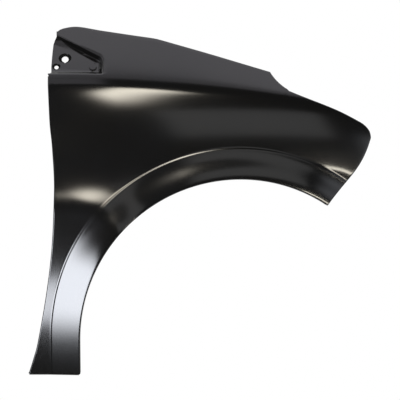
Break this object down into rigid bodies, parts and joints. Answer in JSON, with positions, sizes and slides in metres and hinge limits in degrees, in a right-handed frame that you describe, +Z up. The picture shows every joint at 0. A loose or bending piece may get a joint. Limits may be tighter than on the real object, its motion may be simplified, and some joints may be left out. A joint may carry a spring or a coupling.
{
  "type": "car front fender",
  "caption": "Pressed steel front fender panel with a flared wheel arch, a bolt-down pad at its rear upper corner and folded edges.",
  "frame": {"origin": "middle of the flat mounting pad at the rear upper corner, on the inner face that bolts to the body", "axes": "+X towards the front of the car, +Y inboard, away from the painted side, and +Z up"},
  "size_m": [0.7434, 0.1971, 0.7574],
  "materials": {
    "black_primer": "satin"
  },
  "bodies": {
    "root": {"fender_panel": "black_primer"}
  },
  "joints": []
}
